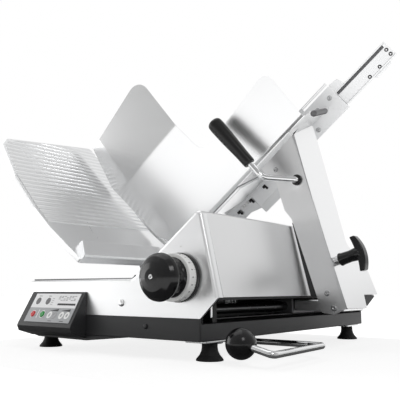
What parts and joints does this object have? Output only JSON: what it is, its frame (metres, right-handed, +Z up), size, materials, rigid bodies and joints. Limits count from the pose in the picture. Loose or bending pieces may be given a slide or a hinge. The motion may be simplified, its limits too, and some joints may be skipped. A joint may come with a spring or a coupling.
{
  "type": "deli meat slicer",
  "caption": "Gravity-feed slicer: sloped round blade, sliding product table on a guide rail, ribbed thickness plate set by a front knob, on a low base with feet.",
  "frame": {"origin": "on the ground, under the middle of the machine's bounding box", "axes": "+X to the operator's right, +Y away from the operator, +Z up"},
  "size_m": [0.6468, 0.673, 0.6333],
  "materials": {
    "black_paint": "dark grey satin paint",
    "black_plastic": "black, glossy",
    "bronze": "machined bronze",
    "brushed_steel": "brushed",
    "cast_iron": "dark cast metal",
    "chrome": "polished",
    "green_plastic": "green",
    "panel_film": "light grey printed film",
    "red_plastic": "red",
    "rubber": "black, matte",
    "satin_aluminium": "satin, fine brushed",
    "stainless": "satin stainless",
    "white_plastic": "white"
  },
  "bodies": {
    "base": {"base_pan": "black_paint", "body_shell": "satin_aluminium", "side_panel": "brushed_steel", "front_plug": "satin_aluminium", "power_inlet": "black_plastic", "control_box": "black_paint", "control_panel": "panel_film", "foot_front_left": "rubber", "foot_front_right": "rubber", "foot_back_left": "rubber", "foot_back_right": "rubber", "gauge_slide_shaft": "brushed_steel", "blade_column": "satin_aluminium", "bearing_housing": "cast_iron", "blade_cover": "stainless", "guard_ring": "satin_aluminium", "guard_bracket": "satin_aluminium", "slice_deflector": "stainless", "motor": "cast_iron", "guide_shaft": "chrome", "guide_bar": "chrome", "lever_bracket_outer": "brushed_steel", "lever_bracket_inner": "brushed_steel"},
    "start_button": {"start_key": "green_plastic"},
    "stop_button": {"stop_key": "red_plastic"},
    "thickness_control": {"knob": "black_plastic", "dial_ring": "white_plastic", "thickness_shaft": "brushed_steel", "thickness_cam": "bronze"},
    "gauge": {"gauge_plate": "satin_aluminium", "gauge_bracket": "cast_iron", "gauge_slide_block": "bronze"},
    "blade_rotor": {"blade": "stainless", "blade_hub": "brushed_steel", "worm_wheel": "bronze"},
    "motor_rotor": {"motor_worm": "brushed_steel"},
    "cover_release": {"cover_knob": "black_plastic"},
    "carriage": {"slide_block": "cast_iron", "guide_bush_front": "bronze", "guide_bush_back": "bronze", "carriage_arm": "satin_aluminium", "table_bracket": "satin_aluminium", "support_plate": "satin_aluminium", "rail_channel": "satin_aluminium", "rail_joiner": "brushed_steel", "latch_rod": "black_plastic", "table_sheet": "stainless", "handle_bush": "black_plastic", "handle_rod": "chrome", "knob_sleeve": "chrome", "pusher_rail": "chrome"},
    "roller": {"support_roller": "white_plastic"},
    "grip": {"handle_grip": "rubber"},
    "carriage_clamp": {"clamp_knob": "black_plastic"},
    "pusher_slide_body": {"pusher_slider": "black_plastic"},
    "pusher": {"pusher_arm": "satin_aluminium", "pusher_plate": "black_plastic"},
    "lever": {"lever_rod": "chrome", "lever_ball": "black_plastic", "lever_cam": "cast_iron"}
  },
  "joints": [
    {"name": "carriage_slide", "type": "slide", "parent": "base", "child": "carriage", "axis": [0, 1, 0], "range_m": [-0.225, 0.105]},
    {"name": "roller_spin", "type": "hinge", "parent": "carriage", "child": "roller", "pos_m": [0.1256, 0.0575, 0.0686], "axis": [1, 0, 0], "range_deg": [-870, 1850]},
    {"name": "thickness_turn", "type": "hinge", "parent": "base", "child": "thickness_control", "pos_m": [0.1426, -0.27, 0.1259], "axis": [0, 1, 0], "range_deg": [0, 300]},
    {"name": "gauge_slide", "type": "slide", "parent": "base", "child": "gauge", "axis": [-0.788, 0, -0.6157], "range_m": [0, 0.024]},
    {"name": "blade_spin", "type": "hinge", "parent": "base", "child": "blade_rotor", "pos_m": [-0.09029, 0.145, 0.37772], "axis": [0.788, 0, 0.6157], "continuous": true},
    {"name": "motor_spin", "type": "hinge", "parent": "base", "child": "motor_rotor", "pos_m": [0.02418, 0.178, -0.09121], "axis": [-0.6157, 0, 0.788], "continuous": true},
    {"name": "cover_release_turn", "type": "hinge", "parent": "base", "child": "cover_release", "pos_m": [-0.09029, 0.145, 0.37772], "axis": [0.788, 0, 0.6157], "range_deg": [0, 720]},
    {"name": "start_press", "type": "slide", "parent": "base", "child": "start_button", "axis": [0, 0.8673, -0.4979], "range_m": [0, 0.0015], "stiffness_N_per_m": 250, "springref_m": -0.001},
    {"name": "stop_press", "type": "slide", "parent": "base", "child": "stop_button", "axis": [0, 0.8673, -0.4979], "range_m": [0, 0.0015], "stiffness_N_per_m": 250, "springref_m": -0.001},
    {"name": "lever_lift", "type": "hinge", "parent": "base", "child": "lever", "pos_m": [0.1806, -0.102, 0.021], "axis": [-1, 0, 0], "range_deg": [0, 25]},
    {"name": "grip_turn", "type": "hinge", "parent": "carriage", "child": "grip", "pos_m": [0.15931, -0.05633, 0.312], "axis": [-0.602, -0.208, 0.771], "continuous": true},
    {"name": "clamp_turn", "type": "hinge", "parent": "carriage", "child": "carriage_clamp", "pos_m": [0.2613, 0.02, 0.1565], "axis": [0.9593, 0, 0.2825], "range_deg": [0, 540]},
    {"name": "pusher_travel", "type": "slide", "parent": "carriage", "child": "pusher_slide_body", "axis": [0.788, 0, 0.6157], "range_m": [-0.115, 0.042]},
    {"name": "pusher_swing", "type": "hinge", "parent": "pusher_slide_body", "child": "pusher", "pos_m": [0.02848, 0.1911, 0.46934], "axis": [0.788, 0, 0.6157], "range_deg": [-100, 0]}
  ],
  "couplings": [
    {"joint": "thickness_turn", "follows": "gauge_slide", "rad_per_m": 218.16},
    {"joint": "motor_spin", "follows": "blade_spin", "ratio": 10},
    {"joint": "roller_spin", "follows": "carriage_slide", "rad_per_m": -142.86}
  ]
}
